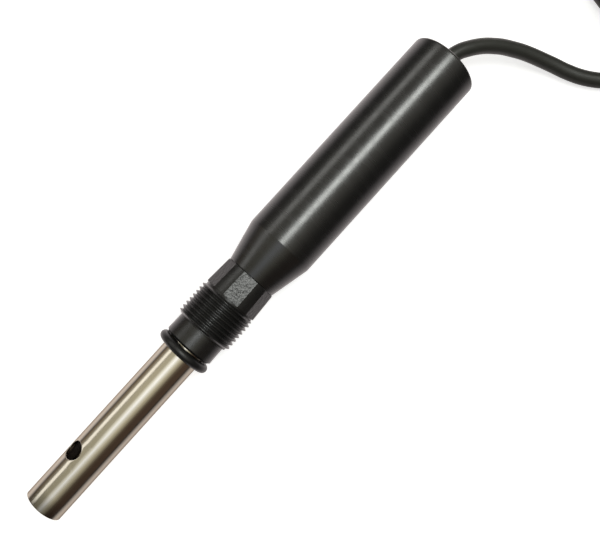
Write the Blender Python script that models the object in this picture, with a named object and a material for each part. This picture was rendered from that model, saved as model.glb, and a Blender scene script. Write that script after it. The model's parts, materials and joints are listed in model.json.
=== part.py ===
"""A conductivity probe for water: a coaxial pair of steel electrodes in a threaded swivel fitting, a black
handle that holds the wiring, and a moulded cable put away as a tied hank.

The probe lies on its side along X, with its open tip towards -X. Sizes are in millimetres. Stations are
distances from the tip along the probe's axis, and the helpers turn them into Blender's metres.
"""

import math

import bmesh
import bpy
import numpy as np
from mathutils import Vector

MM = 0.001
ROUND_STEPS = 32
SMALL_STEPS = 20

# The outside, as driving dimensions.
TOTAL_LENGTH = 186.3
TUBE_R = 6.35
TUBE_BORE_R = 5.35
HANDLE_R = 11.75
NOSE_R = 8.75
NOSE_AT = 94.1
CONE_END_AT = 107.2
THREAD_R = 9.97
THREAD_PITCH = 1.5
THREAD_DEPTH = 0.92
THREAD_PHASE = 0.06
COLLAR_AT = 64.7
COLLAR_END_AT = 71.5
THREAD_END_AT = 83.7
WRENCH_AT = 84.2
FITTING_END_AT = 93.8
FLAT_HALF = 17.4
FLAT_TURN = -3.5
VENT_AT = 19.5
VENT_R = 3.05
VENT_AZIMUTH = math.radians(45.5)
O_RING_AT = 62.95
O_RING_SECTION_R = 1.45
CABLE_R = 2.6

# The way the pieces fit each other.
GAP = 0.3
RUNNING = 0.09
GROOVE_WIDTH = 1.6
FRONT_SEAL_AT = 69.1
REAR_SEAL_AT = 91.5
NOSE_SEAL_AT = 100.5
CAP_SEAL_AT = 182.0
SPIGOT_LENGTH = 0.9
SPIGOT_R = 7.6
TUBE_END_AT = 121.0
TUBE_SHOULDER_AT = 108.0
TUBE_THREAD_R = 6.0
SNAP_AT = 88.7
ROD_R = 3.0
ROD_TIP_AT = 5.0
STUD_R = 2.5
ROD_END_AT = 66.0
ROD_BORE_R = 1.6
INSULATOR_AT = 24.0
INSULATOR_END_AT = 58.0
CAVITY_AT = 112.3
CAVITY_R = 9.25
CAP_SEAT_R = 10.0
CAP_SEAT_AT = 178.5
CAP_R = 9.8
CAP_FACE_AT = 186.0
GROMMET_END_AT = 188.0
STUB_AT = 164.0
SPLICE_AT = 132.0
SPLICE_END_AT = 146.0
SPLICE_OFFSET = 3.2

# The free cable, wound as an oval hank that lies beyond the probe's rear end.
HANK_START_AT = 269.2
HANK_STRAIGHT = 56.0
HANK_Y = -30.0
LANE_R = (16.0, 21.3, 26.6)
LAYERS = 4
LAYER_PITCH = 5.25
TIE_THICKNESS = 0.6
TIE_WIDTH = 9.0
HANK_BOTTOM = TIE_THICKNESS + GAP
HANK_TOP = HANK_BOTTOM + 2 * CABLE_R + (LAYERS - 1) * LAYER_PITCH
CABLE_ROUTE = (
    (188.3, 0.0, 11.75),
    (190.8, -0.22, 11.72),
    (193.3, -1.0, 11.5),
    (195.8, -2.3, 11.1),
    (198.3, -3.8, 10.5),
    (200.8, -5.6, 9.8),
    (203.1, -7.7, 9.0),
    (205.4, -10.1, 8.1),
    (207.5, -12.9, 7.1),
    (209.6, -16.0, 6.1),
    (211.5, -19.5, 5.1),
    (213.2, -23.2, 4.2),
    (214.8, -27.1, 3.5),
    (216.3, -31.3, 3.0),
    (218.3, -36.0, 2.75),
    (221.0, -40.5, 2.62),
    (224.3, -44.6, 2.6),
    (228.2, -48.2, 2.6),
    (233.1, -51.5, 2.6),
    (239.0, -54.3, 2.6),
    (245.4, -56.0, 2.65),
    (252.0, -56.6, 2.8),
    (260.4, -56.6, 3.15),
    (268.9, -56.6, 3.5),
)
TAIL_END_AT = 291.0
SLEEVE_LENGTH = 14.0
CORE_LENGTH = 26.0

FINISHES = {  # base colour, roughness, metallic
    "steel": ((0.62, 0.58, 0.50), 0.28, 1.0),
    "black": ((0.018, 0.018, 0.019), 0.42, 0.0),
    "moulding": ((0.014, 0.014, 0.015), 0.50, 0.0),
    "rubber": ((0.012, 0.012, 0.012), 0.45, 0.0),
    "jacket": ((0.030, 0.030, 0.028), 0.60, 0.0),
    "peek": ((0.55, 0.43, 0.29), 0.45, 0.0),
    "brass": ((0.78, 0.57, 0.24), 0.35, 1.0),
    "tin": ((0.70, 0.70, 0.68), 0.35, 1.0),
    "glass_bead": ((0.05, 0.05, 0.05), 0.30, 0.0),
    "red": ((0.55, 0.03, 0.02), 0.45, 0.0),
    "core_black": ((0.02, 0.02, 0.02), 0.45, 0.0),
    "white": ((0.75, 0.75, 0.72), 0.45, 0.0),
    "green": ((0.02, 0.30, 0.07), 0.45, 0.0),
    "blue": ((0.02, 0.10, 0.45), 0.45, 0.0),
}


def clear_scene():
    for obj in list(bpy.data.objects):
        bpy.data.objects.remove(obj, do_unlink=True)


def painted(obj, finish):
    """Gives the object a material of its own in the named finish."""
    colour, roughness, metallic = FINISHES[finish]
    material = bpy.data.materials.new(obj.name)
    material.use_nodes = True
    shader = material.node_tree.nodes["Principled BSDF"]
    shader.inputs["Base Color"].default_value = (*colour, 1.0)
    shader.inputs["Roughness"].default_value = roughness
    shader.inputs["Metallic"].default_value = metallic
    obj.data.materials.append(material)


def placed(name, mesh, finish, smooth=True):
    """An object at the tip end of the axis, so that a station is its mesh's own X."""
    if smooth:
        mesh.shade_smooth()
        mesh.set_sharp_from_angle(angle=math.radians(35))
    obj = bpy.data.objects.new(name, mesh)
    bpy.context.scene.collection.objects.link(obj)
    obj.location = (-TOTAL_LENGTH / 2 * MM, 0.0, HANDLE_R * MM)
    painted(obj, finish)
    return obj


def closed_mesh(name, work):
    """Welds the working mesh, turns its faces outward and returns it as mesh data."""
    bmesh.ops.remove_doubles(work, verts=work.verts, dist=1e-7)
    bmesh.ops.dissolve_degenerate(work, edges=work.edges, dist=1e-7)
    bmesh.ops.recalc_face_normals(work, faces=work.faces)
    mesh = bpy.data.meshes.new(name)
    work.to_mesh(mesh)
    work.free()
    return mesh


def turned(name, outline, finish, steps=ROUND_STEPS, sweep=2 * math.pi, centre=(0.0, 0.0)):
    """Spins an outline of (station, radius) points about an axis along X. The outline is a closed loop,
    unless both its ends are on the axis. A sweep of less than a turn is closed with two flat ends."""
    work = bmesh.new()
    y, z = centre
    points = [work.verts.new((at * MM, y * MM, (z + r) * MM)) for at, r in outline]
    on_axis = outline[0][1] == 0 and outline[-1][1] == 0
    pairs = list(zip(points, points[1:] + points[:1]))
    edges = [work.edges.new(pair) for pair in (pairs[:-1] if on_axis else pairs)]
    whole = sweep >= 2 * math.pi
    if not whole:
        work.faces.new(points)
    spun = bmesh.ops.spin(
        work, geom=points + edges, cent=(0.0, y * MM, z * MM), axis=(1.0, 0.0, 0.0),
        angle=sweep, steps=steps, use_merge=whole, use_duplicate=False,
    )
    if not whole:
        work.faces.new([v for v in spun["geom_last"] if isinstance(v, bmesh.types.BMVert)])
    return placed(name, closed_mesh(name, work), finish)


def o_ring(name, at, ring_r, section_r, finish="rubber", steps=30, sides=6, sweep=2 * math.pi):
    angles = [2 * math.pi * i / sides for i in range(sides)]
    outline = [(at + section_r * math.cos(a), ring_r + section_r * math.sin(a)) for a in angles]
    return turned(name, outline, finish, steps, sweep=sweep)


def groove(at, bore, r):
    """A seal's groove in a bore, as points of an outline that runs towards the tip."""
    late, early = at + GROOVE_WIDTH / 2, at - GROOVE_WIDTH / 2
    return [(late, bore), (late, r), (early, r), (early, bore)]


def washer(name, start, end, inner_r, outer_r, finish, steps=ROUND_STEPS, **turn):
    outline = [(start, inner_r), (start, outer_r), (end, outer_r), (end, inner_r)]
    return turned(name, outline, finish, steps, **turn)


def arc(at, r, radius, first, last, count=4):
    """Points round a corner of an outline: centre (at, r), angles in degrees from the +station direction."""
    angles = np.radians(np.linspace(first, last, count))
    return [(at + radius * math.cos(a), r + radius * math.sin(a)) for a in angles]


def lofted(name, columns, finish, smooth=True, wrap=True):
    """Skins closed loops of points, in order round the axis. The last loop meets the first, or, without
    wrap, it lies on the first already."""
    work = bmesh.new()
    loops = [[work.verts.new(Vector(p) * MM) for p in column] for column in columns]
    for one, two in zip(loops, loops[1:] + loops[:1] if wrap else loops[1:]):
        for i, corner in enumerate(one):
            after = (i + 1) % len(one)
            work.faces.new((corner, one[after], two[after], two[i]))
    return placed(name, closed_mesh(name, work), finish, smooth)


def smooth_line(route, spacing, lead=0.0):
    """Points at an even spacing along a Catmull-Rom curve through the route's points. A lead adds one close
    to the start, so that the first face is square to the route."""
    knots = np.array(route, float)
    knots = np.vstack([2 * knots[0] - knots[1], knots, 2 * knots[-1] - knots[-2]])
    dense = []
    for before, here, there, after in zip(knots, knots[1:], knots[2:], knots[3:]):
        for t in np.linspace(0, 1, 16, endpoint=False):
            dense.append(
                0.5 * (2 * here + (there - before) * t
                       + (2 * before - 5 * here + 4 * there - after) * t**2
                       + (3 * here - before - 3 * there + after) * t**3)
            )
    dense.append(knots[-2])
    dense = np.array(dense)
    run = np.concatenate([[0], np.cumsum(np.linalg.norm(np.diff(dense, axis=0), axis=1))])
    stops = np.linspace(0, run[-1], max(2, round(run[-1] / spacing) + 1))
    if lead:
        stops = np.insert(stops, 1, lead)
    return np.stack([np.interp(stops, run, dense[:, k]) for k in range(3)], axis=1)


def wire(name, route, radius, finish, spacing=12.0, sides=2, lead=0.0):
    """A round wire or cable along a route of (station, y, z), with z measured from the axis."""
    line = bpy.data.curves.new(name, "CURVE")
    line.dimensions = "3D"
    line.resolution_u = 1
    line.bevel_depth = radius * MM
    line.bevel_resolution = sides
    line.use_fill_caps = True
    points = smooth_line(route, spacing, lead)
    spline = line.splines.new("POLY")
    spline.points.add(len(points) - 1)
    for point, place in zip(spline.points, points):
        point.co = (*(place * MM), 1.0)
    obj = bpy.data.objects.new(name, line)
    bpy.context.scene.collection.objects.link(obj)
    obj.location = (-TOTAL_LENGTH / 2 * MM, 0.0, HANDLE_R * MM)
    painted(obj, finish)
    return obj


def bored(obj, radius, at, azimuth):
    """Drills straight through both walls, square to the axis, at an angle from the top towards +Y."""
    bpy.ops.mesh.primitive_cylinder_add(vertices=24, radius=radius * MM, depth=4 * HANDLE_R * MM)
    drill = bpy.context.object
    drill.name = obj.name + "_drill"
    drill.location = obj.location + Vector((at * MM, 0.0, 0.0))
    drill.rotation_euler = (-azimuth, 0.0, 0.0)
    drill.hide_render = True
    drill.display_type = "WIRE"
    cut = obj.modifiers.new("vent_holes", "BOOLEAN")
    cut.operation = "DIFFERENCE"
    cut.object = drill


def hex_nut(name, start, end, bore_r, across_flats, finish):
    """A plain nut: each column of the loft runs over the outside and back through the bore."""
    columns = []
    for i in range(24):
        angle = 2 * math.pi * i / 24
        off_flat = (angle + math.radians(30)) % math.radians(60) - math.radians(30)
        outer = across_flats / 2 / math.cos(off_flat)
        loop = [(start, bore_r), (start, outer), (end, outer), (end, bore_r)]
        columns.append([(at, r * math.sin(angle), r * math.cos(angle)) for at, r in loop])
    return lofted(name, columns, finish, smooth=False)


def ring_tag(name, at, thickness, inner_r, outer_r, tail_r, tail_end, tail_width):
    """A flat ring terminal with a tail folded back along the axis, for a wire to be soldered to."""
    obj = washer(name, at, at + thickness, inner_r, outer_r, "tin", 24)
    half = tail_width / 2
    low = math.sqrt(outer_r**2 - half**2) - thickness
    tab = tail_r + thickness
    profile = [(at, low), (at, tab), (tail_end, tab), (tail_end, tail_r)]
    profile += [(at + thickness, tail_r), (at + thickness, low)]
    side = bmesh.new()
    loops = [[side.verts.new((x * MM, y * MM, z * MM)) for x, z in profile] for y in (-half, half)]
    side.faces.new(loops[0])
    side.faces.new(loops[1])
    for i in range(len(profile)):
        after = (i + 1) % len(profile)
        side.faces.new((loops[0][i], loops[0][after], loops[1][after], loops[1][i]))
    tail = placed(name + "_tail", closed_mesh(name + "_tail", side), "tin", smooth=False)
    tail.hide_render = True
    tail.display_type = "WIRE"
    join = obj.modifiers.new("tail", "BOOLEAN")
    join.operation = "UNION"
    join.object = tail
    return obj


# The measuring end.


def electrode_tube():
    """The outer electrode: a steel tube with two vent holes, a groove for the snap ring and a rear thread."""
    edge = 0.15
    outline = [
        (0.0, TUBE_BORE_R + edge),
        (0.0, TUBE_R - edge),
        (edge, TUBE_R),
        (VENT_AT, TUBE_R),
        (SNAP_AT - GROOVE_WIDTH / 2, TUBE_R),
        (SNAP_AT - GROOVE_WIDTH / 2, TUBE_R - 0.45),
        (SNAP_AT + GROOVE_WIDTH / 2, TUBE_R - 0.45),
        (SNAP_AT + GROOVE_WIDTH / 2, TUBE_R),
        (TUBE_SHOULDER_AT, TUBE_R),
        (TUBE_SHOULDER_AT, TUBE_THREAD_R),
        (TUBE_END_AT, TUBE_THREAD_R),
        (TUBE_END_AT, TUBE_BORE_R),
        (INSULATOR_END_AT + GROOVE_WIDTH, TUBE_BORE_R),
        (INSULATOR_END_AT + GROOVE_WIDTH, TUBE_BORE_R + 0.4),
        (INSULATOR_END_AT, TUBE_BORE_R + 0.4),
        (INSULATOR_END_AT, TUBE_BORE_R),
        (VENT_AT, TUBE_BORE_R),
        (edge, TUBE_BORE_R),
    ]
    tube = turned("electrode_tube", outline, "steel")
    bored(tube, VENT_R, VENT_AT, VENT_AZIMUTH)


def inner_electrode():
    """The centre rod: round-nosed, with a stud at the rear and a blind bore for the temperature sensor."""
    nose = 1.4
    outline = (
        [(ROD_TIP_AT, 0.0)]
        + arc(ROD_TIP_AT + nose, ROD_R - nose, nose, 180, 90, 5)
        + [(INSULATOR_END_AT, ROD_R), (INSULATOR_END_AT, STUD_R), (ROD_END_AT, STUD_R)]
        + [(ROD_END_AT, ROD_BORE_R), (ROD_TIP_AT + 3.0, ROD_BORE_R), (ROD_TIP_AT + 3.0, 0.0)]
    )
    turned("inner_electrode", outline, "steel", SMALL_STEPS)


def insulator():
    """The plug that holds the rod in the tube, its seals, and the ring that keeps it there."""
    outer = TUBE_BORE_R - 0.12
    inner = ROD_R + 0.12
    seat_r = 4.15
    half = 0.9
    seats = (INSULATOR_AT + 7.2, INSULATOR_END_AT - 7.2)
    outline = [(INSULATOR_AT, inner), (INSULATOR_AT, outer - 0.3), (INSULATOR_AT + 0.3, outer)]
    for at in seats:
        outline += [(at - half, outer), (at - half, seat_r), (at + half, seat_r), (at + half, outer)]
    middle = (INSULATOR_AT + INSULATOR_END_AT) / 2
    outline += [(INSULATOR_END_AT - GAP, outer), (INSULATOR_END_AT - GAP, inner)]
    outline += groove(middle, inner, 3.95)
    turned("electrode_insulator", outline, "peek", SMALL_STEPS)
    for name, at in zip(("insulator_o_ring_front", "insulator_o_ring_rear"), seats):
        o_ring(name, at, 4.72, 0.45, steps=SMALL_STEPS)
    o_ring("rod_o_ring", middle, 3.5, 0.32, steps=SMALL_STEPS)
    washer(
        "insulator_circlip", INSULATOR_END_AT + 0.15, INSULATOR_END_AT + 1.15, 4.75, TUBE_BORE_R + 0.2,
        "steel", steps=30, sweep=math.radians(310),
    )


def rod_hardware():
    """What clamps the rod in the insulator and takes its wire."""
    bore = STUD_R + 0.15
    end = INSULATOR_END_AT
    washer("electrode_washer", end + 0.2, end + 1.0, bore, 4.35, "steel", SMALL_STEPS)
    ring_tag("electrode_solder_tag", end + 1.3, 0.4, bore, 4.25, 4.35, 68.0, 2.2)
    hex_nut("electrode_nut", end + 2.0, end + 6.0, bore, 8.0, "steel")


def temperature_sensor():
    """A glass bead at the bottom of the rod's bore, and its two leads."""
    bead_at = ROD_TIP_AT + 3.4
    bead = [(bead_at, 0.0)] + arc(bead_at + 1.1, 0.0, 1.1, 160, 90, 4)
    bead += arc(bead_at + 4.0, 0.0, 1.1, 90, 20, 4) + [(bead_at + 5.1, 0.0)]
    turned("temperature_sensor", bead, "glass_bead", 16)


# The threaded fitting, which turns freely on the tube.


def fitting_angles():
    """Angles of the fitting's columns: each flat has four, and the rounded corner after it one more."""
    offsets = (-FLAT_HALF, -FLAT_HALF / 3, FLAT_HALF / 3, FLAT_HALF, 30.0)
    return [60.0 * flat + offset for flat in range(6) for offset in offsets]


def wrench_r(at, angle):
    """The radius of the wrench section: a slight cone with six flats cut into it."""
    along = (at - WRENCH_AT) / (FITTING_END_AT - WRENCH_AT)
    round_r = 9.5 - 0.5 * along
    off_flat = (angle + 30.0) % 60.0 - 30.0
    return min(round_r, math.cos(math.radians(FLAT_HALF)) * round_r / math.cos(math.radians(off_flat)))


def thread_column(angle):
    """The right-handed thread's profile at one angle: it drops back one pitch in a turn, clockwise from the
    handle's end, and fades out at both ends."""
    root = THREAD_R - THREAD_DEPTH
    shape = ((0.0, 0.0), (0.14, 0.0), (0.57, 1.0))
    column = []
    for turn in range(-1, 10):
        for part, height in shape:
            at = COLLAR_END_AT + THREAD_PITCH * (turn + part + THREAD_PHASE - angle / 360.0)
            fade = min(1.0, (at - COLLAR_END_AT) / 0.6, (THREAD_END_AT - at) / 0.6)
            at = min(max(at, COLLAR_END_AT), THREAD_END_AT)
            column.append((at, root + THREAD_DEPTH * height * max(0.0, fade)))
    return column


def threaded_fitting():
    """The moulding that screws into a port and turns on the tube: seal collar, thread, neck and wrench
    section. A counterbore in its rear face takes the handle's spigot."""
    bore = TUBE_R + RUNNING
    neck = THREAD_R - THREAD_DEPTH + 0.05
    seal_r = 7.7
    snap_r = 7.3
    spigot_bore = SPIGOT_R + 0.4
    columns = []
    for angle in fitting_angles() + [360.0 - FLAT_HALF]:
        loop = [(COLLAR_AT, bore), (COLLAR_AT, 8.0), (COLLAR_AT + 0.6, 8.55), (COLLAR_END_AT - 0.2, 8.42)]
        loop += thread_column(angle)
        loop += [(THREAD_END_AT + 0.1, neck), (WRENCH_AT, neck)]
        loop += [(WRENCH_AT, wrench_r(WRENCH_AT, angle)), (FITTING_END_AT, wrench_r(FITTING_END_AT, angle))]
        loop += [(FITTING_END_AT, spigot_bore), (FITTING_END_AT - SPIGOT_LENGTH, spigot_bore)]
        loop += [(FITTING_END_AT - SPIGOT_LENGTH, bore)]
        loop += groove(REAR_SEAL_AT, bore, seal_r) + groove(SNAP_AT, bore, snap_r)
        loop += groove(FRONT_SEAL_AT, bore, seal_r)
        turn = math.radians(angle + FLAT_TURN)
        columns.append([(at, r * math.sin(turn), r * math.cos(turn)) for at, r in loop])
    lofted("threaded_fitting", columns, "moulding", wrap=False)


def swivel():
    """The snap ring that keeps the fitting on the tube, the fitting's two seals, and the port's O-ring."""
    o_ring("swivel_snap_ring", SNAP_AT, 6.6, 0.5, "steel", sweep=math.radians(325))
    for name, at in (("fitting_seal_front", FRONT_SEAL_AT), ("fitting_seal_rear", REAR_SEAL_AT)):
        o_ring(name, at, 6.95, 0.5)
    ring_r = TUBE_R + 0.12 + O_RING_SECTION_R
    o_ring("port_o_ring", O_RING_AT, ring_r, O_RING_SECTION_R, steps=ROUND_STEPS, sides=10)


# The handle.


def handle_body():
    """The turned black shell: a spigot and nose that grip the tube, a cone, and a body open at the rear."""
    fillet = 1.0
    nose_bore = TUBE_R + 0.2
    spigot_at = NOSE_AT - SPIGOT_LENGTH
    outline = [(spigot_at, nose_bore), (spigot_at, SPIGOT_R), (NOSE_AT, SPIGOT_R)]
    outline += [(NOSE_AT, NOSE_R - 0.1), (NOSE_AT + 0.1, NOSE_R), (CONE_END_AT, HANDLE_R)]
    outline += arc(TOTAL_LENGTH - fillet, HANDLE_R - fillet, fillet, 90, 0, 3)
    outline += [(TOTAL_LENGTH, CAP_SEAT_R), (CAP_SEAT_AT, CAP_SEAT_R), (CAP_SEAT_AT, CAVITY_R)]
    outline += [(CAVITY_AT, CAVITY_R), (CAVITY_AT, TUBE_THREAD_R + 0.2)]
    outline += [(TUBE_SHOULDER_AT + GAP, TUBE_THREAD_R + 0.2), (TUBE_SHOULDER_AT + GAP, nose_bore)]
    outline += groove(NOSE_SEAL_AT, nose_bore, 7.9)
    turned("handle_body", outline, "black")
    o_ring("nose_seal", NOSE_SEAL_AT, 7.12, 0.6)


def tube_clamp():
    """The stack that clamps the tube's shoulder against the handle's inner wall."""
    bore = TUBE_THREAD_R + 0.2
    washer("clamp_washer", CAVITY_AT + GAP, CAVITY_AT + 1.3, bore, 8.3, "steel", 30)
    ring_tag("tube_solder_tag", CAVITY_AT + 1.6, 0.4, bore, 8.0, 8.2, 124.0, 3.0)
    hex_nut("clamp_nut", CAVITY_AT + 2.3, CAVITY_AT + 6.3, bore, 15.5, "brass")


def rear_end():
    """The cap that closes the handle, its seal, and the grommet that the cable comes out of."""
    cap = [(CAP_FACE_AT, 4.2), (CAP_FACE_AT, CAP_R - 0.3), (CAP_FACE_AT - 0.3, CAP_R)]
    cap += groove(CAP_SEAL_AT, CAP_R, 8.45)
    cap += [(CAP_SEAT_AT + 0.5, CAP_R), (CAP_SEAT_AT + GAP, CAP_R - 0.2), (CAP_SEAT_AT + GAP, 4.2)]
    turned("rear_cap", cap, "black")
    o_ring("rear_cap_o_ring", CAP_SEAL_AT, 9.22, 0.6)
    bore = CABLE_R + 0.2
    flange_at = CAP_SEAT_AT - 1.9
    grommet = [(flange_at, bore), (flange_at, 5.4), (CAP_SEAT_AT - 0.1, 5.4), (CAP_SEAT_AT - 0.1, 3.95)]
    grommet += [(CAP_FACE_AT + GAP, 3.95), (CAP_FACE_AT + GAP, 5.2), (CAP_FACE_AT + 0.9, 5.2)]
    grommet += [(GROMMET_END_AT - 0.3, 4.4), (GROMMET_END_AT, 3.9), (GROMMET_END_AT, bore)]
    turned("cable_grommet", grommet, "rubber", 30)
    washer("cable_crimp_ring", 168.0, 173.0, CABLE_R + 0.2, 3.7, "brass", SMALL_STEPS)
    wire("cable_stub", [(STUB_AT, 0, 0), ((STUB_AT + GROMMET_END_AT) / 2, 0, 0), (GROMMET_END_AT, 0, 0)],
         CABLE_R, "jacket", sides=3)


def wiring():
    """Four wires from the measuring end and four cable cores meet in pairs in heat-shrink sleeves."""
    splice_r = 1.0
    reach = (SPLICE_AT + SPLICE_END_AT) / 2
    starts = {
        "rod_wire": [(68.4, 0.0, 4.5), (72.0, 0.0, 4.3), (100.0, 1.5, 3.2)],
        "sensor_lead_front": [(14.0, -0.6, 0.0), (30.0, -0.6, 0.0), (66.0, -0.6, 0.0), (100.0, -1.4, -1.8)],
        "sensor_lead_rear": [(14.0, 0.6, 0.0), (30.0, 0.6, 0.0), (66.0, 0.6, 0.0), (100.0, 1.4, -1.8)],
        "tube_wire": [(124.4, 0.0, 8.4), (125.6, -0.4, 7.9), (128.0, -2.2, 5.2)],
    }
    corners = {
        "rod_wire": (1, 1, "red"),
        "sensor_lead_front": (-1, -1, "white"),
        "sensor_lead_rear": (1, -1, "green"),
        "tube_wire": (-1, 1, "core_black"),
    }
    for name, start in starts.items():
        *sides, colour = corners[name]
        y, z = (SPLICE_OFFSET * side for side in sides)
        thin = name.startswith("sensor")
        end = [(SPLICE_AT - 1.6, y, z), (SPLICE_AT + 1.0, y, z), (reach - 0.4, y, z)]
        wire(name, start + end, 0.35 if thin else 0.6, colour, 5.0, sides=1)
        label = colour.removeprefix("core_")
        washer(
            f"splice_sleeve_{label}", SPLICE_AT, SPLICE_END_AT, splice_r, splice_r + 0.4, "core_black", 16,
            centre=(y, z),
        )
        core = [(reach + 0.4, y, z), (SPLICE_END_AT - 1, y, z), (SPLICE_END_AT + 2, y, z)]
        core += [(STUB_AT - 4, y * 0.38, z * 0.38), (STUB_AT - GAP, y * 0.36, z * 0.36)]
        wire(f"cable_core_{label}", core, 0.7, colour, 4.0, sides=1)


# The free cable.


def floor_route(route):
    """A route given with heights above the floor, measured from the axis instead."""
    return [(at, y, z - HANDLE_R) for at, y, z in route]


def oval(radius, steps, left_r=None):
    """An oval round the hank's middle line, counter-clockwise from the start of its lower straight side.
    left_r is the radius of the quarter that the incoming cable passes, where the oval is drawn in."""
    left, right = HANK_START_AT, HANK_START_AT + HANK_STRAIGHT
    points = [(left, HANK_Y - radius)]
    for i in range(steps + 1):
        turn = math.pi * (i / steps - 0.5)
        points.append((right + radius * math.cos(turn), HANK_Y + radius * math.sin(turn)))
    for i in range(steps + 1):
        turn = math.pi * (i / steps + 0.5)
        r = radius if i <= steps / 2 or left_r is None else left_r
        reach = radius if left_r is None else left_r
        points.append((left + reach * math.cos(turn), HANK_Y + r * math.sin(turn)))
    return points


def cable_hank():
    """The wound cable as one oval ring. Its first quarter is one lane narrower, where the cable comes in."""
    outer = oval(LANE_R[-1] + CABLE_R, 16, LANE_R[-1] - CABLE_R - 0.4)
    inner = oval(LANE_R[0] - CABLE_R, 16)
    columns = []
    for (x_out, y_out), (x_in, y_in) in zip(outer, inner):
        low, high = HANK_BOTTOM - HANDLE_R, HANK_TOP - HANDLE_R
        columns.append([(x_out, y_out, low), (x_out, y_out, high), (x_in, y_in, high), (x_in, y_in, low)])
    lofted("cable_hank", columns, "jacket")


def hank_ties():
    """Two straps, each round one side of the hank. The rear one also holds the cable's tail down."""
    middle = HANK_START_AT + HANK_STRAIGHT / 2
    half = (LANE_R[-1] - LANE_R[0]) / 2 + CABLE_R + GAP
    height = HANK_TOP + GAP
    lane = (LANE_R[0] + LANE_R[-1]) / 2
    tail_top = height + 2 * CABLE_R + GAP
    front = [(-half, TIE_THICKNESS), (half, TIE_THICKNESS), (half, height), (-half, height)]
    rear = front[:3] + [(CABLE_R, tail_top), (-CABLE_R, tail_top)] + front[3:]
    ties = (("hank_tie_front", front, HANK_Y - lane), ("hank_tie_rear", rear, HANK_Y + lane))
    for name, outline, y in ties:
        loops = []
        for at in (middle - TIE_WIDTH / 2, middle + TIE_WIDTH / 2):
            loops.append([(at, y + a, b - HANDLE_R) for a, b in outline])
        strap(name, loops, y, height / 2 - HANDLE_R)


def strap(name, loops, y, z):
    """A closed band: its inner loops at both edges, and the same loops grown outward by its thickness."""
    grown = []
    for loop in loops:
        grown.append([
            (at, b + math.copysign(TIE_THICKNESS, b - y), c + math.copysign(TIE_THICKNESS, c - z))
            for at, b, c in loop
        ])
    columns = [list(corners) for corners in zip(loops[0], loops[1], grown[1], grown[0])]
    lofted(name, columns, "rubber", smooth=False)


def free_cable():
    """The cable from the grommet to the hank, and its tail on top of the hank, stripped to five cores."""
    wire("cable", floor_route(CABLE_ROUTE), CABLE_R, "jacket", sides=3, lead=2.5)
    right = HANK_START_AT + HANK_STRAIGHT
    lane = (LANE_R[0] + LANE_R[-1]) / 2
    height = HANK_TOP + GAP + CABLE_R
    tail = []
    for degrees in (0, 18, 36, 54, 72, 90):
        turn = math.radians(degrees)
        tail.append((right + lane * math.cos(turn), HANK_Y + lane * math.sin(turn), height))
    tail += [(right - 13, HANK_Y + lane, height), (TAIL_END_AT, HANK_Y + lane, height)]
    wire("cable_tail", floor_route(tail), CABLE_R, "jacket", spacing=9.0, sides=3)
    y = HANK_Y + lane
    z = height - HANDLE_R
    end = TAIL_END_AT - GAP
    start = end - SLEEVE_LENGTH
    sleeve = [(start, 0.0), (start, 2.2), (start + 2.0, 2.8), (end, 2.8), (end, 0.0)]
    turned("cable_end_sleeve", sleeve, "rubber", 16, centre=(y, z))
    drop = HANK_TOP + GAP + 0.75 - HANDLE_R
    leaving = (162, 234, 90, 306, 18)
    for i, colour in enumerate(("red", "core_black", "white", "green", "blue")):
        spread = i - 2
        turn = math.radians(leaving[i])
        out, up = 1.45 * math.cos(turn), 1.45 * math.sin(turn)
        core_end = start - CORE_LENGTH
        route = [(start - GAP, y + out, z + up), (start - 3.0, y + 1.15 * out, z + up)]
        route += [(start - 12.0, y + 2.2 * spread, drop + 0.4), (core_end, y + 3.0 * spread, drop)]
        label = colour.removeprefix("core_")
        wire(f"end_core_{label}", route, 0.65, colour, 4.5, sides=1)
        heading = Vector((-1.0, 0.06 * spread, 0.0)).normalized()
        tip = Vector((core_end, y + 3.0 * spread, drop))
        ferrule = [tip + reach * heading for reach in (GAP, GAP + 4, GAP + 8)]
        wire(f"end_ferrule_{label}", ferrule, 0.5, "tin", 8.0, sides=1)


def main():
    clear_scene()
    electrode_tube()
    inner_electrode()
    insulator()
    rod_hardware()
    temperature_sensor()
    threaded_fitting()
    swivel()
    handle_body()
    tube_clamp()
    rear_end()
    wiring()
    cable_hank()
    hank_ties()
    free_cable()


main()
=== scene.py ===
"""The looks of a conductivity probe for water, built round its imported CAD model.

Stations are distances in millimetres from the probe's open tip along its axis, which is X. Lateral places
and heights are in millimetres too, and at() turns all three into the frame's metres.
"""

import json
import math

import bmesh
import bpy
from mathutils import Matrix, Vector

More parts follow.
